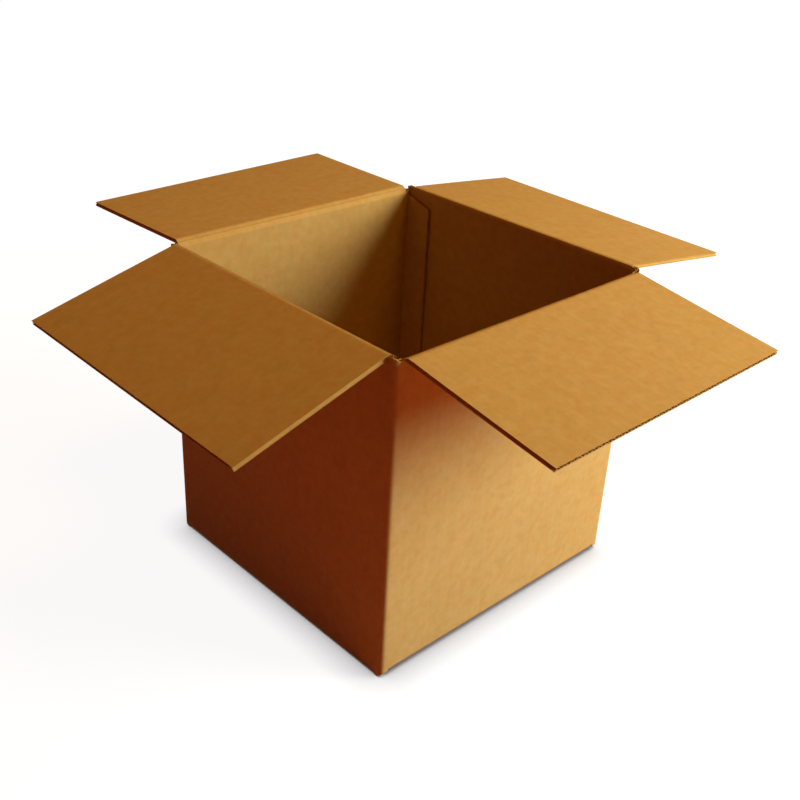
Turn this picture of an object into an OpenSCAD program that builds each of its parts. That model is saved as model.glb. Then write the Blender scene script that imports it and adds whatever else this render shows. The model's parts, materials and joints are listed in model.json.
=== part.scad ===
// Open slotted carton of single-wall corrugated board, with its four top flaps folded out.
// X runs from the left wall to the right wall, Y from front to back and Z up.
// The origin is the centre of the base, on the surface that the carton stands on.

/* [Carton] */
// Inside length, from the left wall to the right wall
inside_length = 305; // [220:1:420]
// Inside width, from the front wall to the back wall
inside_width = 305; // [220:1:420]
// Inside height, from the bottom up to the closed inner flaps
inside_height = 305; // [150:1:450]

/* [Board] */
// Thickness of the corrugated board
board_t = 4; // [3.4:0.1:5]
// Thickness of each flat liner
liner_t = 0.45; // [0.3:0.05:0.6]
// Thickness of the wavy medium between the liners
medium_t = 0.35; // [0.25:0.05:0.5]
// Distance from one flute to the next
flute_pitch = 7.8; // [6:0.1:10]
// Width of the glued foot between two neighbouring flutes
flute_foot = 1.1; // [0.6:0.1:2]

/* [Folds] */
// Inside radius of the folds at the wall corners and along the bottom
bend_r = 0.8; // [0.4:0.1:1.2]
// Thickness of the crushed board in the crease of a top flap
crease_t = 1.2; // [0.8:0.1:1.6]
// Gap between the two halves of a crease
crease_gap = 0.2; // [0.1:0.05:0.4]
// Depth of the left and right creases, from the outer face of the wall
outer_crease_in = 2.8; // [2:0.1:3]
// Depth of the front and back creases, from the outer face of the wall
inner_crease_in = 1; // [0.8:0.1:1.6]
// Furthest that a top flap folds out, from upright
fold_back_angle = 135; // [120:1:140]
// Angle left free on each side of a fully folded crease
crease_clear_angle = 1; // [0.5:0.1:2]

/* [Slots] */
// Width of the slot that was cut between two flaps, centred on the corner fold
slot_w = 14.5; // [11:0.1:16]
// Gap between a flap's side edge and the corner beside it
slot_side_gap = 0.5; // [0.3:0.1:1]

/* [Top flaps] */
// Gap that the closed left and right flaps leave where they meet
outer_meet_gap = 1; // [0.5:0.1:6]
// Gap that the closed front and back flaps leave where they meet
inner_meet_gap = 3; // [0.5:0.1:8]
// Gap between the closed inner flaps and the outer flaps on top of them
stack_gap = 0.5; // [0.2:0.1:1]
// Slope of the open front flap, down from level
front_droop_angle = 10; // [0:0.1:25]
// Slope of the open right flap, down from level
right_droop_angle = 5.5; // [0:0.1:25]
// Slope of the open back flap, down from level
back_droop_angle = 1.8; // [0:0.1:25]
// Slope of the open left flap, down from level
left_droop_angle = 14.2; // [0:0.1:25]

/* [Bottom flaps] */
// Gap where two opposite bottom flaps meet
seam_gap = 1.5; // [0.5:0.1:6]

/* [Glue lap] */
// Width of the lap that joins the ends of the sheet, inside the right wall
lap_w = 33; // [28:0.5:50]
// Thickness of the lap, which is pressed flatter than the board
lap_t = 3.2; // [2:0.1:3.4]
// Distance from the slots to the ends of the lap, at its fold
lap_drop = 6; // [3:0.5:15]
// Slope of the lap's two ends
lap_taper_angle = 15; // [0:1:30]

/* [Glue] */
// Thickness of the glue between two layers of board
glue_t = 0.3; // [0.2:0.05:0.5]
// Distance that the glue stays in from the edges of the lap
glue_margin = 5; // [3:0.5:8]
// Length of each hot-melt bead between the bottom flaps
bead_length = 90; // [50:1:100]
// Width of each hot-melt bead
bead_w = 9; // [5:0.5:15]

/* [Hidden] */
$fn = 64;
kraft = [0.81, 0.63, 0.38];
kraft_inside = [0.77, 0.58, 0.35];
glue_colour = [0.9, 0.82, 0.55];
overlap = 1;
flute_points = 5;
outer_length = inside_length + 2 * board_t;
outer_width = inside_width + 2 * board_t;
bend_outer_r = bend_r + board_t;
// The left and right bottom flaps lie outermost, under the front and back ones
inner_flap_z = board_t + glue_t;
floor_z = inner_flap_z + board_t;
// A closed front or back flap lies on the inside height, and a closed side flap on top of it
inner_crease_z = floor_z + inside_height + board_t - inner_crease_in;
outer_crease_z = floor_z + inside_height + 2 * board_t + stack_gap - outer_crease_in;
slot_low_z = board_t;
slot_high_z = inner_crease_z;
flap_inset = (slot_w + board_t) / 2;
corner_arm = flap_inset - slot_side_gap;
inner_taper_angle = 45 - crease_clear_angle;
outer_taper_angle = (180 - fold_back_angle) / 2 - crease_clear_angle;
lap_face_x = outer_length / 2 - board_t - glue_t;
lap_root_y = outer_width / 2 - board_t;
lap_end_drop = lap_w * tan(lap_taper_angle);
lap_low_z = slot_low_z + lap_drop;
lap_high_z = slot_high_z - lap_drop;

// Height over which the board tapers from its inner face down to the crease
function inner_run(crease_in) = (board_t - crease_in) / tan(inner_taper_angle);

// Height over which the board tapers from its outer face down to the crease
function outer_run(crease_in) = crease_in / tan(outer_taper_angle);

// Lower face of the wavy medium, at a distance u from the top of a wave
function medium_face(u, pitch) =
    (board_t / 2 - liner_t - medium_t / 2) * cos(360 * u / pitch) - medium_t / 2;

// Draws a section across a wall and runs it along the wall
module along_wall(span) {
    rotate([90, 0, 90]) linear_extrude(span, center = true) children();
}

// Quarter of a folded board, bulging down and to the left of its centre
module bend() {
    intersection() {
        difference() {
            circle(bend_outer_r);
            circle(bend_r);
        }
        translate([-bend_outer_r, -bend_outer_r]) square(bend_outer_r);
    }
}

// Section of a wall with its bottom flap: the outer face lies at -depth
module wall_section(depth, crease_in, crease_z, under_z) {
    bend_z = under_z + bend_outer_r;
    flap_l = depth - seam_gap / 2 - bend_outer_r;
    translate([-depth, 0]) {
        polygon([
            [0, bend_z],
            [board_t, bend_z],
            [board_t, crease_z - inner_run(crease_in)],
            [crease_in, crease_z],
            [0, crease_z - outer_run(crease_in)]
        ]);
        translate([crease_in, crease_z]) circle(d = crease_t);
        translate([bend_outer_r, bend_z]) bend();
        translate([bend_outer_r, under_z]) square([flap_l, board_t]);
    }
}

// One wall with its bottom flap, and the plain panel that runs on into the corners beside it
module wall(depth, span, crease_in, crease_z, under_z) {
    panel_low = under_z + bend_outer_r;
    panel_high = crease_z - max(inner_run(crease_in), outer_run(crease_in));
    along_wall(span - 2 * corner_arm) wall_section(depth, crease_in, crease_z, under_z);
    along_wall(span - 2 * corner_arm + 2 * overlap)
        translate([-depth, panel_low]) square([board_t, panel_high - panel_low]);
}

// Front and back walls, with the bottom flaps that lie inside
module end_walls() {
    for (turn = [0, 180]) rotate(turn)
        wall(outer_width / 2, outer_length, inner_crease_in, inner_crease_z, inner_flap_z);
}

// Left and right walls, with the bottom flaps that lie outside
module side_walls() {
    for (turn = [90, 270]) rotate(turn)
        wall(outer_length / 2, outer_width, outer_crease_in, outer_crease_z, 0);
}

// Folded corner between two walls, seen from above, with its outer corner at the origin
module corner_fold() {
    translate([bend_outer_r, bend_outer_r]) bend();
    translate([bend_outer_r, 0]) square([corner_arm - bend_outer_r, board_t]);
    translate([0, bend_outer_r]) square([board_t, corner_arm - bend_outer_r]);
}

// The three corners where the sheet is folded
module folded_corners() {
    for (corner = [[0, 0], [1, 0], [0, 1]])
        mirror([corner.x, 0, 0]) mirror([0, corner.y, 0])
            translate([-outer_length / 2, -outer_width / 2, slot_low_z])
                linear_extrude(slot_high_z - slot_low_z) corner_fold();
}

// The fourth corner: the back wall turns in here, and the raw edge of the right wall covers it
module joined_corner() {
    end_x = outer_length / 2 - corner_arm;
    turn_w = lap_face_x - end_x;
    turn_r = min(turn_w, board_t);
    translate([0, 0, slot_low_z]) linear_extrude(slot_high_z - slot_low_z) {
        translate([end_x, lap_root_y]) difference() {
            square([turn_w, board_t]);
            translate([turn_w - turn_r, board_t - turn_r]) difference() {
                square(turn_r + overlap);
                circle(turn_r);
            }
        }
        translate([outer_length / 2 - board_t, outer_width / 2 - corner_arm]) square([board_t, corner_arm]);
    }
}

// Lap that runs on from the back wall and is glued to the inside of the right wall
module glue_lap() {
    translate([lap_face_x - lap_t, 0, 0])
        rotate([90, 0, 90]) linear_extrude(lap_t) polygon([
            [lap_root_y, lap_low_z],
            [lap_root_y + overlap, lap_low_z],
            [lap_root_y + overlap, lap_high_z],
            [lap_root_y, lap_high_z],
            [lap_root_y - lap_w, lap_high_z - lap_end_drop],
            [lap_root_y - lap_w, lap_low_z + lap_end_drop]
        ]);
}

// Flute that the cut laid open along the raw edge of the right wall
module raw_edge_flute() {
    groove_w = board_t - 2 * liner_t - medium_t;
    groove_d = (flute_pitch - flute_foot) / 2;
    translate([outer_length / 2 - liner_t - groove_w, outer_width / 2 - groove_d, slot_low_z - overlap])
        cube([groove_w, groove_d + overlap, slot_high_z - slot_low_z + 2 * overlap]);
}

// The walls, the glue lap and the bottom flaps are one folded sheet
module box_body() {
    color(kraft) difference() {
        union() {
            end_walls();
            side_walls();
            folded_corners();
            joined_corner();
            glue_lap();
        }
        raw_edge_flute();
    }
}

// Hollow under one wave of the medium, from the outer liner up
module flute(pitch) {
    half = (pitch - flute_foot) / 2;
    liner_face = -(board_t / 2 - liner_t);
    polygon([
        [-half, liner_face],
        for (k = [1 : flute_points - 1])
            let (u = half * (2 * k / flute_points - 1)) [u, medium_face(u, pitch)],
        [half, liner_face]
    ]);
}

// The flutes on both sides of the medium, open at the flap's free edge
module flutes(width, length, crease_in) {
    count = round(width / flute_pitch);
    pitch = width / count;
    crush = max(inner_run(crease_in), outer_run(crease_in)) + board_t;
    translate([-width / 2, board_t / 2 - crease_in, crush]) linear_extrude(length) {
        for (i = [0 : count]) translate([i * pitch, 0]) flute(pitch);
        for (i = [0 : count - 1]) translate([(i + 0.5) * pitch, 0]) mirror([0, 1]) flute(pitch);
    }
}

// Section of an upright flap: the crease lies at the origin and the outer face at -crease_in
module flap_section(length, crease_in) {
    difference() {
        polygon([
            [0, 0],
            [board_t - crease_in, inner_run(crease_in)],
            [board_t - crease_in, length],
            [-crease_in, length],
            [-crease_in, outer_run(crease_in)]
        ]);
        circle(d = crease_t + 2 * crease_gap);
    }
}

// One top flap, folded out over the wall at -depth
module flap(depth, span, crease_in, crease_z, meet_gap, droop) {
    width = span - 2 * flap_inset;
    length = depth - crease_in - meet_gap / 2;
    translate([0, crease_in - depth, crease_z]) rotate([90 + droop, 0, 0]) difference() {
        along_wall(width) flap_section(length, crease_in);
        flutes(width, length, crease_in);
    }
}

// Flap of the front or back wall, which closes first
module end_flap(droop) {
    color(kraft_inside)
        flap(outer_width / 2, outer_length, inner_crease_in, inner_crease_z, inner_meet_gap, droop);
}

// Flap of the left or right wall, which closes over the end flaps
module side_flap(droop) {
    color(kraft_inside)
        flap(outer_length / 2, outer_width, outer_crease_in, outer_crease_z, outer_meet_gap, droop);
}

module flap_front() {
    end_flap(front_droop_angle);
}

module flap_right() {
    rotate(90) side_flap(right_droop_angle);
}

module flap_back() {
    rotate(180) end_flap(back_droop_angle);
}

module flap_left() {
    rotate(270) side_flap(left_droop_angle);
}

// Glue film between the lap and the right wall
module lap_glue() {
    low = lap_low_z + lap_end_drop;
    high = lap_high_z - lap_end_drop;
    color(glue_colour) translate([lap_face_x, lap_root_y - lap_w + glue_margin, low])
        cube([glue_t, lap_w - 2 * glue_margin, high - low]);
}

// Hot-melt beads that hold the front and back bottom flaps down on the side ones
module bottom_glue() {
    color(glue_colour) for (x = [-1, 1]) for (y = [-1, 1])
        translate([x * outer_length / 4, y * outer_width / 4, board_t + glue_t / 2])
            cube([bead_length, bead_w, glue_t], center = true);
}

box_body();
flap_front();
flap_right();
flap_back();
flap_left();
lap_glue();
bottom_glue();
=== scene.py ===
import json
import math

import bmesh
import bpy
from mathutils import Matrix, Vector


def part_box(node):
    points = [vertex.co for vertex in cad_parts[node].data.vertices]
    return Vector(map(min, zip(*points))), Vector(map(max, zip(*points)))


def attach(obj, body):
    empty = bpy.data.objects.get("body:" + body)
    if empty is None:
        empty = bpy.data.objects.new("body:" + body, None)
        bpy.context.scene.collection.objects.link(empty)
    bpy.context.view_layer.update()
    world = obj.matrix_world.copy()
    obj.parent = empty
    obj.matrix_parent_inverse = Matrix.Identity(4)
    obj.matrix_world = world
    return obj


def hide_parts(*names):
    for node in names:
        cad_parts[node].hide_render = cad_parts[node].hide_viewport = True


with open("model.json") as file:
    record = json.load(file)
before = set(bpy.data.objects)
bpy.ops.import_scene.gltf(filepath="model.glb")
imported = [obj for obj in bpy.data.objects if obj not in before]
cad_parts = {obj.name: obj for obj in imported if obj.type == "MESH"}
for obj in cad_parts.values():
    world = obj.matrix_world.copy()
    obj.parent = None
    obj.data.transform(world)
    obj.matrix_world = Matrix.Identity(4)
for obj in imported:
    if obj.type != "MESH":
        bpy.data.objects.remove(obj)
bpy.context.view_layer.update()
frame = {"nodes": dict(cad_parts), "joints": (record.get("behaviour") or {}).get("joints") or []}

# Kraft liner paper
# Both faces of the board are unbleached kraft liner, long brown wood fibres pressed into a sheet.
# It is cloudy where the fibres lie thicker, and faintly striped where it is glued to the flutes.
flute_pitch = 0.0078
liner_colour = (0.520, 0.342, 0.082, 1)
liner_dark = (0.42, 0.250, 0.048, 1)
liner_pale = (0.60, 0.415, 0.120, 1)
liner_ruddy = (0.545, 0.312, 0.072, 1)
liner_yellow = (0.495, 0.368, 0.108, 1)
speck_colour = (0.23, 0.130, 0.030, 1)
cloud_scale = 22.0
tinge_scale = 64.0
blotch_scale = 110.0
speck_scale = 330.0
fibre_scale = 900.0
fibre_stretch = (1.0, 0.8, 1.0)
relief_depth = 0.0006


def add_node(tree, kind, inputs=None, **settings):
    """A new node: inputs are values or sockets to link, and settings are the node's own choices."""
    node = tree.nodes.new(kind)
    for name, value in settings.items():
        setattr(node, name, value)
    for name, value in (inputs or {}).items():
        if isinstance(value, bpy.types.NodeSocket):
            tree.links.new(value, node.inputs[name])
        else:
            node.inputs[name].default_value = value
    return node


def calculate(tree, operation, *values):
    sockets = dict(enumerate(values))
    return add_node(tree, "ShaderNodeMath", sockets, operation=operation).outputs[0]


def noise(tree, place, scale, detail=3.0, roughness=0.55):
    settings = {"Vector": place, "Scale": scale, "Detail": detail, "Roughness": roughness}
    return add_node(tree, "ShaderNodeTexNoise", settings).outputs[0]


def stretch(tree, value, low, high):
    """Brings a value to a share: 0 at low and under it, 1 at high and over it."""
    settings = {"Value": value, "From Min": low, "From Max": high}
    return add_node(tree, "ShaderNodeMapRange", settings).outputs[0]


def blend_colours(tree, share, first, second):
    settings = {"Factor": share, 6: first, 7: second}
    return add_node(tree, "ShaderNodeMix", settings, data_type="RGBA").outputs[2]


def kraft_paper(name, tint, stripes):
    """Kraft paper toned by the tint; stripes is how far the flutes show through it."""
    material = bpy.data.materials.new(name)
    material.use_nodes = True
    tree = material.node_tree
    shader = tree.nodes["Principled BSDF"]
    place = add_node(tree, "ShaderNodeTexCoord").outputs["Object"]
    on_sheet = add_node(tree, "ShaderNodeUVMap", uv_map="sheet").outputs["UV"]
    along_fibres = add_node(tree, "ShaderNodeMapping", {"Vector": on_sheet, "Scale": fibre_stretch})
    clouds = noise(tree, place, cloud_scale, detail=2.0)
    blotches = noise(tree, place, blotch_scale, detail=4.0, roughness=0.65)
    tinges = noise(tree, place, tinge_scale, roughness=0.6)
    fibres = noise(tree, along_fibres.outputs["Vector"], fibre_scale, roughness=0.7)
    specks = stretch(tree, noise(tree, place, speck_scale, detail=2.0), 0.70, 0.78)
    across = add_node(tree, "ShaderNodeSeparateXYZ", {"Vector": on_sheet}).outputs["X"]
    turns = calculate(tree, "MULTIPLY", across, 2 * math.pi / flute_pitch)
    wave = calculate(tree, "MULTIPLY_ADD", calculate(tree, "COSINE", turns), 0.5, 0.5)
    cloudy = blend_colours(tree, stretch(tree, clouds, 0.3, 0.7), liner_dark, liner_pale)
    base = blend_colours(tree, 0.25, liner_colour, cloudy)
    tinged = blend_colours(tree, stretch(tree, tinges, 0.35, 0.65), liner_ruddy, liner_yellow)
    base = blend_colours(tree, 0.45, base, tinged)
    patchy = blend_colours(tree, stretch(tree, blotches, 0.32, 0.68), liner_dark, liner_pale)
    base = blend_colours(tree, 0.32, base, patchy)
    fibrous = calculate(tree, "MULTIPLY", stretch(tree, fibres, 0.35, 0.65), 0.16)
    base = blend_colours(tree, fibrous, base, liner_pale)
    base = blend_colours(tree, calculate(tree, "MULTIPLY", wave, 0.025 * stripes), base, liner_dark)
    base = blend_colours(tree, calculate(tree, "MULTIPLY", specks, 0.35), base, speck_colour)
    tinted = {"Factor": 1.0, 6: base, 7: (*tint, 1)}
    toned = add_node(tree, "ShaderNodeMix", tinted, data_type="RGBA", blend_type="MULTIPLY")
    tree.links.new(toned.outputs[2], shader.inputs["Base Color"])
    rough = add_node(tree, "ShaderNodeMapRange", {"Value": fibres, "To Min": 0.72, "To Max": 0.92})
    tree.links.new(rough.outputs[0], shader.inputs["Roughness"])
    shader.inputs["Specular IOR Level"].default_value = 0.06
    height = calculate(tree, "MULTIPLY_ADD", fibres, 0.5, calculate(tree, "MULTIPLY", blotches, 0.4))
    height = calculate(tree, "MULTIPLY_ADD", wave, 0.12 * stripes, height)
    bump = {"Height": height, "Strength": 0.35, "Distance": relief_depth}
    relief = add_node(tree, "ShaderNodeBump", bump).outputs["Normal"]
    tree.links.new(relief, shader.inputs["Normal"])
    return material


outer_paper = kraft_paper("kraft_outer_liner", tint=(1.02, 1.13, 1.45), stripes=1.0)
inner_paper = kraft_paper("kraft_inner_liner", tint=(0.93, 0.865, 0.96), stripes=1.0)
flute_paper = kraft_paper("kraft_fluting", tint=(1.0, 0.92, 0.85), stripes=0.0)
cut_paper = kraft_paper("kraft_cut_edge", tint=(0.72, 0.62, 0.50), stripes=0.0)

# The folded sheet
# Walls, glue lap and bottom flaps are one die-cut sheet of corrugated board, scored and folded.
# Each fold is rounded by the board's own thickness, and each top crease is crushed to a thin strip.
board_t = 0.004
liner_t = 0.00045
medium_t = 0.0003
bend_r = 0.0008
bend_outer_r = board_t + bend_r
crease_half = 0.0006
seam_gap = 0.0015
glue_t = 0.0003
lap_w = 0.033
lap_t = 0.0032
lap_drop = 0.006
lap_slope = math.tan(math.radians(15))
half_length, half_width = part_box("box_body")[1][:2]
flap_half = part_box("flap_front")[1][0]
slot_side_gap = 0.0005
slot_low_share = 0.3
corner_arm = half_length - flap_half - slot_side_gap
joints = {joint["name"]: joint for joint in frame["joints"]}
end_crease_z = joints["front_fold"]["pos_m"][2]
side_crease_z = joints["right_fold"]["pos_m"][2]
end_crease_in = half_width + joints["front_fold"]["pos_m"][1]
side_crease_in = half_length - joints["right_fold"]["pos_m"][0]
end_under_z = board_t + glue_t
slot_low_z = board_t
slot_high_z = end_crease_z
lap_low_z = slot_low_z + lap_drop
lap_high_z = slot_high_z - lap_drop
outer_taper = 2.9
outer_start = 0.0
inner_taper = 1.3
inner_start = 1.0
WALLS = {
    "right": {"turn": 90, "depth": half_length, "half": half_width, "bulge": 0.0009},
    "front": {"turn": 0, "depth": half_width, "half": half_length, "bulge": 0.0006},
    "left": {"turn": 270, "depth": half_length, "half": half_width, "bulge": -0.0008},
    "back": {"turn": 180, "depth": half_width, "half": half_length, "bulge": 0.0010},
}
for side, wall in WALLS.items():
    is_end = side in ("front", "back")
    wall["crease_in"] = end_crease_in if is_end else side_crease_in
    wall["crease_z"] = end_crease_z if is_end else side_crease_z
    wall["under_z"] = end_under_z if is_end else 0.0
    wall["slot_ends"] = (wall["under_z"] + slot_low_share * bend_outer_r, wall["crease_z"])


def turned(turn, x, y, z):
    angle = math.radians(turn)
    return Vector((x * math.cos(angle) - y * math.sin(angle), x * math.sin(angle) + y * math.cos(angle), z))


def crushed(height, depth, run, start):
    """Distance from the crease line to a face of the board, which leaves the crease at a given slope."""
    share = min(max((height - crease_half) / (run - crease_half), 0.0), 1.0)
    eased = share * (start + share * (3 - 2 * start + share * (start - 2)))
    return crease_half + (depth - crease_half) * eased


def outer_run(crease_in):
    return outer_taper * crease_in


def inner_run(crease_in):
    return inner_taper * (board_t - crease_in)


common_low = end_under_z + bend_outer_r
common_high = min(wall["crease_z"] - outer_run(wall["crease_in"]) for wall in WALLS.values())
common_steps = 8
common_levels = [common_low, lap_low_z]
common_levels += [
    lap_low_z + (lap_high_z - lap_low_z) * step / common_steps for step in range(1, common_steps)
]
common_levels += [min(lap_high_z, common_high), max(lap_high_z, common_high)]


def wall_rows(wall):
    """Rows of a wall from the edge of its bottom flap up: level, outer (depth, z) and inner (depth, z)."""
    rows = []
    flap_steps, bend_steps, taper_steps = 2, 4, 6
    flap_end = wall["depth"] - seam_gap / 2
    under_z = wall["under_z"]
    for step in range(flap_steps + 1):
        s = flap_end + (bend_outer_r - flap_end) * step / flap_steps
        rows.append((("flap", step), (s, under_z), (s, under_z + board_t)))
    bend_z = under_z + bend_outer_r
    for step in range(1, bend_steps + 1):
        angle = math.pi / 2 * step / bend_steps
        outer = (bend_outer_r * (1 - math.sin(angle)), bend_z - bend_outer_r * math.cos(angle))
        inner = (bend_outer_r - bend_r * math.sin(angle), bend_z - bend_r * math.cos(angle))
        rows.append((("bend", step), outer, inner))
    if bend_z > common_low - 1e-6:
        rows.pop()
    for level in common_levels:
        rows.append((("common", level), (0.0, level), (board_t, level)))
    crease_in, crease_z = wall["crease_in"], wall["crease_z"]
    tallest = crease_z - common_levels[-1]
    for step in range(1, taper_steps + 1):
        height = tallest * (1 - step / taper_steps) ** 1.3
        s_out = crease_in - crushed(height, crease_in, outer_run(crease_in), outer_start)
        s_in = crease_in + crushed(height, board_t - crease_in, inner_run(crease_in), inner_start)
        rows.append((("taper", step), (s_out, crease_z - height), (s_in, crease_z - height)))
    for angle in (40, 80):
        across = crease_half * math.cos(math.radians(angle))
        z = crease_z + crease_half * math.sin(math.radians(angle))
        rows.append((("bead", angle), (crease_in - across, z), (crease_in + across, z)))
    return rows


def bulge(wall, u, z):
    """How far a wall leans out of its plane: most at its middle, nothing at its edges."""
    reach = wall["half"] - corner_arm
    rise = (z - common_levels[0]) / (common_levels[-1] - common_levels[0])
    if not 0 < rise < 1:
        return 0.0
    return wall["bulge"] * math.cos(math.pi / 2 * u / reach) * math.sin(math.pi * rise)


points = {}
cells = []
path = [0.0]


def add_point(key, outer, inner, height):
    if key not in points:
        points[key] = (outer, inner, Vector((path[0], height)))


def join_columns(first, second):
    """Fills the strip between two columns of keys with cells."""
    for low in range(len(first) - 1):
        cells.append((first[low], first[low + 1], second[low + 1], second[low]))


def add_wall(side):
    wall = WALLS[side]
    columns = []
    column_count = 16
    reach = wall["half"] - corner_arm
    for column in range(column_count + 1):
        u = reach * (1 - 2 * column / column_count)
        keys = []
        for level, outer, inner in wall_rows(wall):
            key = (side, column, level)
            lean = bulge(wall, u, outer[1])
            height = outer[1] if level[0] != "flap" else outer[1] - outer[0] + bend_outer_r
            outside = turned(wall["turn"], u, outer[0] - wall["depth"] - lean, outer[1])
            inside = turned(wall["turn"], u, inner[0] - wall["depth"] - lean, inner[1])
            add_point(key, outside, inside, height)
            keys.append(key)
        columns.append(keys)
        path[0] += 2 * reach / column_count
    path[0] -= 2 * reach / column_count
    for left, right in zip(columns, columns[1:]):
        join_columns(left, right)
    return (side, 0), (side, column_count)


def corner_column(name, index, turn, outer, inner, ends, shared=None):
    """Keys of an upright column in a corner; at the common levels it may be a wall's own column."""
    keys = []
    for level in ["low", *common_levels, "high"]:
        z = {"low": ends[0], "high": ends[1]}.get(level, level)
        if shared and level in common_levels:
            key = (*shared, ("common", level))
        else:
            key = (name, index, level)
            add_point(key, turned(turn, *outer, z), turned(turn, *inner, z), z)
        keys.append(key)
    return keys


def slot_ends(first_wall, second_wall, share):
    """Where the slots stop at a column of the corner, between the levels of its two walls."""
    pairs = zip(first_wall["slot_ends"], second_wall["slot_ends"])
    return [first + (second - first) * share for first, second in pairs]


def arc_points(centre, radius, steps):
    """Plan of a fold that turns from the face at -Y to the face at -X."""
    for step in range(steps + 1):
        angle = -math.pi / 2 * (1 + step / steps)
        yield (centre[0] + radius * math.cos(angle), centre[1] + radius * math.sin(angle))


def add_corner(side, before, after):
    wall, next_wall = WALLS[side], WALLS[after[0]]
    turn, depth, half = wall["turn"], wall["depth"], wall["half"]
    name = side + "_corner"
    edge = corner_arm - half
    steps = 6
    ends = slot_ends(wall, next_wall, 0)
    columns = [corner_column(name, 0, turn, (edge, -depth), (edge, board_t - depth), ends, before)]
    centre = (bend_outer_r - half, bend_outer_r - depth)
    folds = zip(arc_points(centre, bend_outer_r, steps), arc_points(centre, bend_r, steps))
    path[0] += corner_arm - bend_outer_r
    for index, (outer, inner) in enumerate(folds):
        ends = slot_ends(wall, next_wall, index / steps)
        columns.append(corner_column(name, index + 1, turn, outer, inner, ends))
        path[0] += math.pi / 2 * (bend_r + board_t / 2) / steps
    path[0] += corner_arm - bend_outer_r
    far = corner_arm - depth
    ends = slot_ends(wall, next_wall, 1)
    columns.append(corner_column(name, steps + 2, turn, (-half, far), (board_t - half, far), ends, after))
    for left, right in zip(columns, columns[1:]):
        join_columns(left, right)


def add_raw_edge():
    wall = WALLS["right"]
    turn, depth, half = wall["turn"], wall["depth"], wall["half"]
    low, high = wall["slot_ends"]
    cut_ends = WALLS["back"]["slot_ends"][0], high
    first = corner_column("raw_edge", 0, turn, (half, -depth), (half, board_t - depth), cut_ends)
    path[0] += corner_arm
    edge = half - corner_arm
    faces = (edge, -depth), (edge, board_t - depth)
    second = corner_column("raw_edge", 1, turn, *faces, (low, high), ("right", 0))
    join_columns(first, second)


def add_lap(before):
    wall = WALLS["back"]
    turn, depth, ends = wall["turn"], wall["depth"], wall["slot_ends"]
    lap_face = half_length - board_t - glue_t
    turn_r = min(lap_face - (half_length - corner_arm), board_t)
    inner_r = 0.0005
    steps = 6
    edge = corner_arm - half_length
    faces = (edge, -depth), (edge, board_t - depth)
    columns = [corner_column("lap_fold", 0, turn, *faces, ends, before)]
    outer_centre = (turn_r - lap_face, turn_r - depth)
    inner_centre = (lap_t + inner_r - lap_face, board_t + inner_r - depth)
    folds = zip(arc_points(outer_centre, turn_r, steps), arc_points(inner_centre, inner_r, steps))
    for index, (outer, inner) in enumerate(folds):
        columns.append(corner_column("lap_fold", index + 1, turn, outer, inner, ends))
        path[0] += math.pi / 2 * turn_r / 2 / steps
    for left, right in zip(columns, columns[1:]):
        join_columns(left, right)
    low, high = common_levels.index(lap_low_z), common_levels.index(lap_high_z)
    levels = common_levels[low:high + 1]
    last = columns[-1][low + 1:high + 2]
    middle_z = (lap_low_z + lap_high_z) / 2
    lap_steps = 5
    for step in range(1, lap_steps + 1):
        reach = lap_w * step / lap_steps
        shrink = 1 - reach * lap_slope / (lap_high_z - middle_z)
        path[0] += lap_w / lap_steps
        column = []
        for level in levels:
            z = middle_z + (level - middle_z) * shrink
            y = board_t - depth + reach
            key = ("lap", step, level)
            add_point(key, turned(turn, -lap_face, y, z), turned(turn, lap_t - lap_face, y, z), z)
            column.append(key)
        join_columns(last, column)
        last = column


add_raw_edge()
right_ends = add_wall("right")
add_corner("right", right_ends[1], ("front", 0))
front_ends = add_wall("front")
add_corner("front", front_ends[1], ("left", 0))
left_ends = add_wall("left")
add_corner("left", left_ends[1], ("back", 0))
back_ends = add_wall("back")
add_lap(back_ends[1])


def split_cells(step_length):
    """The same cells cut into upright strips, narrow enough to follow the waves of the fluting."""
    strips, fine_cells = {}, []

    def strip_keys(left, right, parts):
        if (left, right) not in strips:
            keys = [left] + [(left, right, part) for part in range(1, parts)] + [right]
            for part, key in enumerate(keys[1:-1], start=1):
                pairs = zip(points[left], points[right])
                points[key] = tuple(first.lerp(second, part / parts) for first, second in pairs)
            strips[left, right] = keys
        return strips[left, right]

    for low_left, high_left, high_right, low_right in cells:
        length = points[low_right][2].x - points[low_left][2].x
        parts = max(1, round(length / step_length))
        low, high = strip_keys(low_left, low_right, parts), strip_keys(high_left, high_right, parts)
        for part in range(parts):
            fine_cells.append((low[part], high[part], high[part + 1], low[part + 1]))
    return fine_cells


def lay_paper(shape, paper_cells, depths_of, face_material, edge_material):
    """Adds one paper of the board: a closed slab between two depths below its outer face."""
    sheet = shape.loops.layers.uv.verify()
    sides = {}

    def corners(keys):
        for key in keys:
            if key not in sides:
                outer, inner, place = points[key]
                into = inner - outer
                sides[key] = [
                    shape.verts.new(outer + into.normalized() * depth)
                    for depth in depths_of(place.x, into.length)
                ]
        return [sides[key] for key in keys]

    def add_face(verts, keys, material):
        face = shape.faces.new(verts)
        face.material_index = material
        face.smooth = True
        for loop, key in zip(face.loops, keys):
            loop[sheet].uv = points[key][2]

    used = set()
    for cell in paper_cells:
        around = corners(cell)
        add_face([corner[0] for corner in around], cell, face_material)
        add_face([corner[1] for corner in reversed(around)], cell[::-1], face_material)
        used.update(zip(cell, cell[1:] + cell[:1]))
    for start, end in sorted(used, key=str):
        if (end, start) not in used:
            first, second = sides[start], sides[end]
            edge = [second[0], first[0], first[1], second[1]]
            add_face(edge, (end, start, start, end), edge_material)


def outer_liner_depths(along, thickness):
    return 0.0, min(liner_t, 0.45 * thickness)


def inner_liner_depths(along, thickness):
    return thickness - min(liner_t, 0.45 * thickness), thickness


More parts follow.
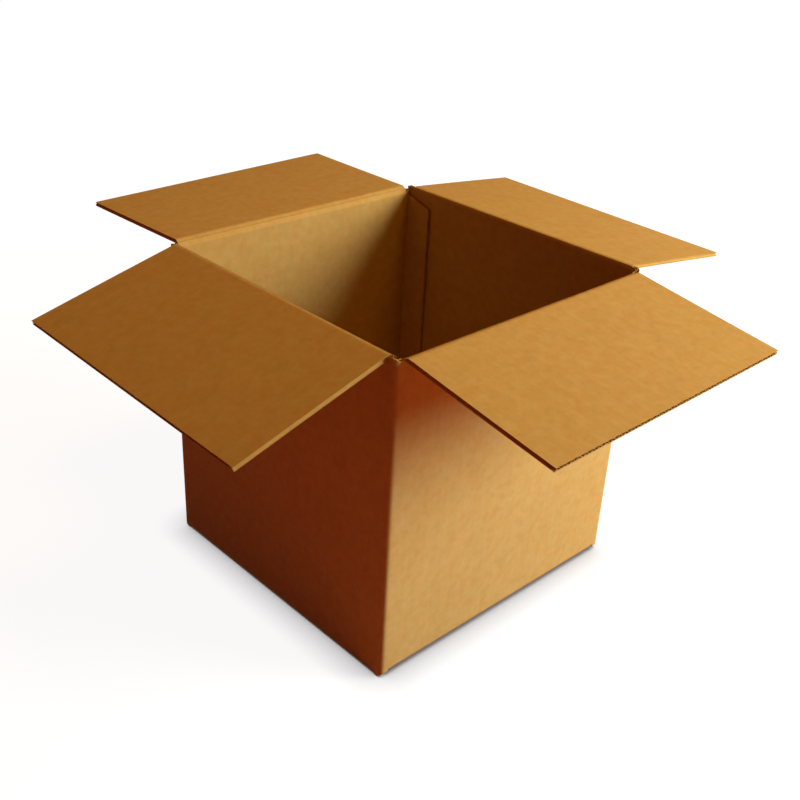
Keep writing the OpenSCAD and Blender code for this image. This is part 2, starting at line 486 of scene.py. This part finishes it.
def fluting_depths(along, thickness):
    height = max(thickness / 2 - liner_t - medium_t / 2, 0.0)
    turns = 2 * math.pi / flute_pitch
    slope = height * turns * math.sin(along * turns)
    middle = thickness / 2 + height * math.cos(along * turns)
    half_paper = min(medium_t / 2 * math.sqrt(1 + slope * slope), 0.4 * thickness)
    return middle - half_paper, middle + half_paper


def add_papers(name, papers, materials, sharp_angle):
    mesh = bpy.data.meshes.new(name)
    shape = bmesh.new()
    shape.loops.layers.uv.new("sheet")
    for index, (paper_cells, depths_of) in enumerate(papers):
        lay_paper(shape, paper_cells, depths_of, index, len(papers))
    shape.to_mesh(mesh)
    shape.free()
    mesh.set_sharp_from_angle(angle=math.radians(sharp_angle))
    for material in materials:
        mesh.materials.append(material)
    paper = bpy.data.objects.new(name, mesh)
    bpy.context.scene.collection.objects.link(paper)
    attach(paper, "box")
    return paper


liners = [(cells, outer_liner_depths), (cells, inner_liner_depths)]
liner_papers = (outer_paper, inner_paper, cut_paper)
folded_liners = add_papers("folded_liners", liners, liner_papers, sharp_angle=40)
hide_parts("box_body")

# The fluting inside the folded sheet
# The wavy middle paper of the same board, glued by its crests to both liners.
# Its flutes stand upright in the walls, and show wherever the sheet was cut across them.
steps_per_flute = 9
fluting = [(split_cells(flute_pitch / steps_per_flute), fluting_depths)]
add_papers("folded_fluting", fluting, (flute_paper, cut_paper), sharp_angle=60)

# The top flaps
# A flap is the same board as the walls: two flat liners glued to a wavy medium between them.
# The knife that cut it left the flutes open at its edges, and its crease is crushed flat.
liner_columns = 40
liner_rows = 26
wave_rows = 14
points_per_wave = 10
row_crowding = 2.0
end_meet_gap = 0.003
side_meet_gap = 0.001


def board_layer(tree, given, columns, rows, centre_of, thickness_of):
    """One paper of the flap: a closed slab whose grid is bent by the two formulas."""
    size = add_node(tree, "ShaderNodeCombineXYZ", {"X": given["Width"], "Y": 1.0, "Z": 1.0}).outputs[0]
    counts = {"Size": size, "Vertices X": columns, "Vertices Y": rows, "Vertices Z": 2}
    slab = add_node(tree, "GeometryNodeMeshCube", counts).outputs["Mesh"]
    place = add_node(tree, "GeometryNodeInputPosition").outputs[0]
    split = add_node(tree, "ShaderNodeSeparateXYZ", {"Vector": place}).outputs
    share = calculate(tree, "POWER", calculate(tree, "ADD", split["Y"], 0.5), row_crowding)
    along = calculate(tree, "MULTIPLY", share, given["Length"])
    faces = {}
    for face, start in (("Outer", outer_start), ("Inner", inner_start)):
        run = stretch(tree, along, crease_half, given[face + " Run"])
        eased = calculate(tree, "MULTIPLY_ADD", run, start - 2, 3 - 2 * start)
        eased = calculate(tree, "MULTIPLY", run, calculate(tree, "MULTIPLY_ADD", run, eased, start))
        rise = calculate(tree, "SUBTRACT", given[face + " Depth"], crease_half)
        faces[face] = calculate(tree, "MULTIPLY_ADD", eased, rise, crease_half)
    centre = centre_of(tree, faces, split["X"])
    thickness = thickness_of(tree, faces, split["X"])
    out = calculate(tree, "MULTIPLY_ADD", split["Z"], thickness, centre)
    end_share = calculate(tree, "ADD", calculate(tree, "DIVIDE", split["X"], given["Width"]), 0.5)
    ends = {"Value": end_share, "To Min": given["Sag Low End"], "To Max": given["Sag High End"]}
    sag = add_node(tree, "ShaderNodeMapRange", ends).outputs[0]
    out = calculate(tree, "ADD", out, calculate(tree, "MULTIPLY", sag, along))
    curl = calculate(tree, "MULTIPLY", calculate(tree, "MULTIPLY", share, share), given["Curl"])
    out = calculate(tree, "ADD", out, curl)
    back = calculate(tree, "MULTIPLY", out, -1.0)
    bent = add_node(tree, "ShaderNodeCombineXYZ", {"X": split["X"], "Y": back, "Z": along}).outputs[0]
    on_sheet = add_node(tree, "ShaderNodeCombineXYZ", {"X": split["X"], "Y": along}).outputs[0]
    marked = add_node(
        tree, "GeometryNodeStoreNamedAttribute", {"Geometry": slab, "Name": "sheet", "Value": on_sheet},
        data_type="FLOAT2", domain="CORNER",
    ).outputs[0]
    return add_node(tree, "GeometryNodeSetPosition", {"Geometry": marked, "Position": bent}).outputs[0]


def outer_liner_centre(tree, faces, u):
    return calculate(tree, "SUBTRACT", faces["Outer"], liner_t / 2)


def inner_liner_centre(tree, faces, u):
    return calculate(tree, "SUBTRACT", liner_t / 2, faces["Inner"])


def even_thickness(tree, faces, u):
    return liner_t


def wave_height(tree, faces):
    room = calculate(tree, "MULTIPLY", calculate(tree, "ADD", faces["Outer"], faces["Inner"]), 0.5)
    return calculate(tree, "SUBTRACT", room, liner_t + medium_t / 2)


def wave_angle(tree, u):
    return calculate(tree, "MULTIPLY", u, 2 * math.pi / flute_pitch)


def medium_centre(tree, faces, u):
    middle = calculate(tree, "MULTIPLY", calculate(tree, "SUBTRACT", faces["Outer"], faces["Inner"]), 0.5)
    crest = calculate(tree, "COSINE", wave_angle(tree, u))
    return calculate(tree, "MULTIPLY_ADD", crest, wave_height(tree, faces), middle)


def medium_thickness(tree, faces, u):
    steepness = calculate(tree, "MULTIPLY", wave_height(tree, faces), 2 * math.pi / flute_pitch)
    slope = calculate(tree, "MULTIPLY", steepness, calculate(tree, "SINE", wave_angle(tree, u)))
    square = calculate(tree, "MULTIPLY_ADD", slope, slope, 1.0)
    return calculate(tree, "MULTIPLY", calculate(tree, "SQRT", square), medium_t)


def flap_tree():
    tree = bpy.data.node_groups.new("corrugated_flap", "GeometryNodeTree")
    names = ("Width", "Length", "Outer Depth", "Inner Depth", "Outer Run", "Inner Run",
             "Sag Low End", "Sag High End", "Curl")
    for name in names:
        tree.interface.new_socket(name=name, in_out="INPUT", socket_type="NodeSocketFloat")
    tree.interface.new_socket(name="Wave Columns", in_out="INPUT", socket_type="NodeSocketInt")
    tree.interface.new_socket(name="Flap", in_out="OUTPUT", socket_type="NodeSocketGeometry")
    given = tree.nodes.new("NodeGroupInput").outputs
    papers = [
        (liner_columns, liner_rows, outer_liner_centre, even_thickness, outer_paper),
        (liner_columns, liner_rows, inner_liner_centre, even_thickness, inner_paper),
        (given["Wave Columns"], wave_rows, medium_centre, medium_thickness, flute_paper),
    ]
    flap = tree.nodes.new("GeometryNodeJoinGeometry")
    for columns, rows, centre_of, thickness_of, paper in papers:
        layer = board_layer(tree, given, columns, rows, centre_of, thickness_of)
        layer = add_node(tree, "GeometryNodeSetMaterial", {"Geometry": layer, "Material": paper}).outputs[0]
        tree.links.new(layer, flap.inputs[0])
    whole = add_node(tree, "GeometryNodeRealizeInstances", {"Geometry": flap.outputs[0]}).outputs[0]
    tree.links.new(whole, tree.nodes.new("NodeGroupOutput").inputs[0])
    return tree


corrugated_flap = flap_tree()
FLAPS = {
    "front": {"droop": 10.0, "sag_low": 0.0, "sag_high": -0.9, "curl": -0.0008},
    "right": {"droop": 5.5, "sag_low": 2.0, "sag_high": 0.0, "curl": 0.0010},
    "back": {"droop": 1.8, "sag_low": -2.0, "sag_high": 0.0, "curl": -0.0006},
    "left": {"droop": 14.2, "sag_low": 0.0, "sag_high": 2.4, "curl": 0.0008},
}


def make_flap(side):
    wall, form = WALLS[side], FLAPS[side]
    crease_in = wall["crease_in"]
    meet_gap = end_meet_gap if side in ("front", "back") else side_meet_gap
    width = 2 * flap_half
    values = {
        "Width": width,
        "Length": wall["depth"] - crease_in - meet_gap / 2,
        "Outer Depth": crease_in,
        "Inner Depth": board_t - crease_in,
        "Outer Run": outer_run(crease_in),
        "Inner Run": inner_run(crease_in),
        "Sag Low End": math.radians(form["sag_low"]),
        "Sag High End": math.radians(form["sag_high"]),
        "Curl": form["curl"],
        "Wave Columns": round(width / flute_pitch * points_per_wave) + 1,
    }
    maker = bpy.data.objects.new("flap_maker", bpy.data.meshes.new("flap_maker"))
    bpy.context.scene.collection.objects.link(maker)
    modifier = maker.modifiers.new("board", "NODES")
    modifier.node_group = corrugated_flap
    for item in corrugated_flap.interface.items_tree:
        if item.in_out == "INPUT":
            modifier[item.identifier] = values[item.name]
    evaluated = maker.evaluated_get(bpy.context.evaluated_depsgraph_get())
    mesh = bpy.data.meshes.new_from_object(evaluated)
    bpy.data.objects.remove(maker)
    stand = Matrix.Rotation(math.radians(wall["turn"]), 4, "Z")
    crease = Matrix.Translation((0, crease_in - wall["depth"], wall["crease_z"]))
    fold = Matrix.Rotation(math.radians(90 + form["droop"]), 4, "X")
    mesh.transform(stand @ crease @ fold)
    mesh.shade_smooth()
    mesh.set_sharp_from_angle(angle=math.radians(50))
    flap = bpy.data.objects.new("board_flap_" + side, mesh)
    bpy.context.scene.collection.objects.link(flap)
    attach(flap, side + "_flap")
    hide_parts("flap_" + side)


for side in FLAPS:
    make_flap(side)

# Glue
# The lap is held by a thin film of white glue, and the bottom flaps by beads of hot-melt glue.
# Both are squeezed flat between two layers of board, so that little of them shows.
glue_dark = (0.66, 0.52, 0.27, 1)
glue_pale = (0.85, 0.76, 0.52, 1)
clot_scale = 160.0


def glue_material():
    material = bpy.data.materials.new("set_glue")
    material.use_nodes = True
    tree = material.node_tree
    shader = tree.nodes["Principled BSDF"]
    place = add_node(tree, "ShaderNodeTexCoord").outputs["Object"]
    clots = noise(tree, place, clot_scale)
    colour = blend_colours(tree, clots, glue_dark, glue_pale)
    tree.links.new(colour, shader.inputs["Base Color"])
    rough = add_node(tree, "ShaderNodeMapRange", {"Value": clots, "To Min": 0.3, "To Max": 0.5})
    tree.links.new(rough.outputs[0], shader.inputs["Roughness"])
    return material


set_glue = glue_material()
for name in ("lap_glue", "bottom_glue"):
    frame["nodes"][name].data.materials.clear()
    frame["nodes"][name].data.materials.append(set_glue)

# Floor
# The carton stands on a warm matt floor, whose light fills its dark sides from below.
# The camera sees this floor as white paper, with a painted shadow and painted deep shade close round the
# carton.
floor_size = 30.0
floor_bounce_colour = (0.62, 0.15, 0.06, 1)
floor_lit_colour = (0.20, 0.21, 0.21, 1)
shadow_ground = (0.5, 1.6)
near_glow, far_glow = 0.93, 1.0
shadow_reach = 0.036
# Colour of the painted contact shadow on the floor's glow.
painted_shadow_tone = (0.16, 0.17, 0.20, 1)
open_tone = (1, 1, 1, 1)
# Painted deep shade where the floor is nearly shut in: full below the first share of openness, gone above
# the second.
painted_deep_shade_tone = (0.03, 0.02, 0.01, 1)
deep_shade_full_at, deep_shade_gone_at = 0.32, 0.5


def seen_directly(tree):
    """1 for rays from the camera, or by way of metal or glass, and 0 for light on its way to a surface."""
    ray = add_node(tree, "ShaderNodeLightPath").outputs
    mirrored = calculate(tree, "MAXIMUM", ray["Is Glossy Ray"], ray["Is Transmission Ray"])
    return calculate(tree, "MAXIMUM", ray["Is Camera Ray"], mirrored)


def floor_material():
    material = bpy.data.materials.new("white_sweep")
    material.use_nodes = True
    tree = material.node_tree
    tree.nodes.clear()
    reach = {"Distance": shadow_reach}
    # Painted contact shadow: the floor's glow is darkened where ambient occlusion finds the carton close
    # by.
    openness = add_node(tree, "ShaderNodeAmbientOcclusion", reach, samples=12).outputs["AO"]
    tone = blend_colours(tree, openness, painted_shadow_tone, open_tone)
    # Painted deep shade: where the floor is almost shut in, as under the corner holes, its glow turns
    # nearly black.
    out_of_deep_shade = stretch(tree, openness, deep_shade_full_at, deep_shade_gone_at)
    tone = blend_colours(tree, out_of_deep_shade, painted_deep_shade_tone, tone)
    place = add_node(tree, "ShaderNodeTexCoord").outputs["Object"]
    away = add_node(tree, "ShaderNodeVectorMath", {0: place}, operation="LENGTH").outputs["Value"]
    fade = {
        "Value": away, "From Min": shadow_ground[0], "From Max": shadow_ground[1],
        "To Min": near_glow, "To Max": far_glow,
    }
    strength = add_node(tree, "ShaderNodeMapRange", fade, interpolation_type="SMOOTHSTEP").outputs[0]
    glow = add_node(tree, "ShaderNodeEmission", {"Color": tone, "Strength": strength}).outputs[0]
    lit = add_node(tree, "ShaderNodeBsdfDiffuse", {"Color": floor_lit_colour}).outputs[0]
    shown = add_node(tree, "ShaderNodeAddShader", {0: lit, 1: glow}).outputs[0]
    bounce = add_node(tree, "ShaderNodeBsdfDiffuse", {"Color": floor_bounce_colour}).outputs[0]
    mixed = add_node(tree, "ShaderNodeMixShader", {0: seen_directly(tree), 1: bounce, 2: shown}).outputs[0]
    add_node(tree, "ShaderNodeOutputMaterial", {"Surface": mixed})
    return material


half_floor = floor_size / 2
floor_corners = [(x * half_floor, y * half_floor, 0) for x, y in ((-1, -1), (1, -1), (1, 1), (-1, 1))]
floor_mesh = bpy.data.meshes.new("floor")
floor_mesh.from_pydata(floor_corners, [], [(0, 1, 2, 3)])
floor_mesh.materials.append(floor_material())
floor = bpy.data.objects.new("floor", floor_mesh)
bpy.context.scene.collection.objects.link(floor)

# Light
# One soft lamp stands low to the right of the camera. A weaker warm one hangs overhead.
# A faint warm one stands low at the left, and the room adds a dim warm light from all round.
light_target = Vector((0, 0, 0.2))
room_colour = (1.0, 0.13, 0.06, 1)
room_strength = 0.08
backdrop_white = (1, 1, 1, 1)


def add_lamp(name, turn, height, distance, size, watts, colour):
    """A soft disc: turn goes from straight in front towards the right, height is up from level."""
    turn, height = math.radians(turn), math.radians(height)
    level = math.cos(height)
    direction = Vector((math.sin(turn) * level, -math.cos(turn) * level, math.sin(height)))
    lamp = bpy.data.lights.new(name, "AREA")
    lamp.shape = "DISK"
    lamp.size = size
    lamp.energy = watts
    lamp.color = colour
    lamp_object = bpy.data.objects.new(name, lamp)
    lamp_object.location = light_target + direction * distance
    lamp_object.rotation_euler = direction.to_track_quat("Z", "Y").to_euler()
    lamp_object.visible_camera = False
    bpy.context.scene.collection.objects.link(lamp_object)


add_lamp("key_lamp", turn=39.5, height=21, distance=1.7, size=0.9, watts=37.5, colour=(1.0, 1.02, 0.98))
add_lamp("top_lamp", turn=60, height=75, distance=2.0, size=1.0, watts=17.0, colour=(1.0, 0.52, 0.01))
add_lamp("fill_lamp", turn=-110, height=6, distance=1.6, size=1.2, watts=1.3, colour=(1.0, 0.20, 0.13))


def room_light():
    world = bpy.data.worlds.new("room")
    world.use_nodes = True
    tree = world.node_tree
    tree.nodes.clear()
    glow = {"Color": room_colour, "Strength": room_strength}
    dim = add_node(tree, "ShaderNodeBackground", glow).outputs[0]
    backdrop = {"Color": backdrop_white, "Strength": 1.0}
    white = add_node(tree, "ShaderNodeBackground", backdrop).outputs[0]
    mixed = add_node(tree, "ShaderNodeMixShader", {0: seen_directly(tree), 1: dim, 2: white}).outputs[0]
    add_node(tree, "ShaderNodeOutputWorld", {"Surface": mixed})
    return world


scene = bpy.context.scene
scene.world = room_light()
scene.view_settings.view_transform = "Standard"

# Camera
# It stands in front of the carton's front left corner, looks down at it and is rolled a little.
camera_place = Vector((-0.6632, -0.6770, 0.6769))
camera_heading = 44.563
camera_dip = 28.350
camera_roll = 3.066
sensor_width = 36.0
camera_lens = 48.37

camera_data = bpy.data.cameras.new("camera")
camera_data.sensor_width = sensor_width
camera_data.lens = camera_lens
camera = bpy.data.objects.new("camera", camera_data)
turn_to = Matrix.Rotation(math.radians(-camera_heading), 4, "Z")
tip_down = Matrix.Rotation(math.radians(90 - camera_dip), 4, "X")
roll = Matrix.Rotation(math.radians(camera_roll), 4, "Z")
camera.matrix_world = Matrix.Translation(camera_place) @ turn_to @ tip_down @ roll
scene.collection.objects.link(camera)
scene.camera = camera
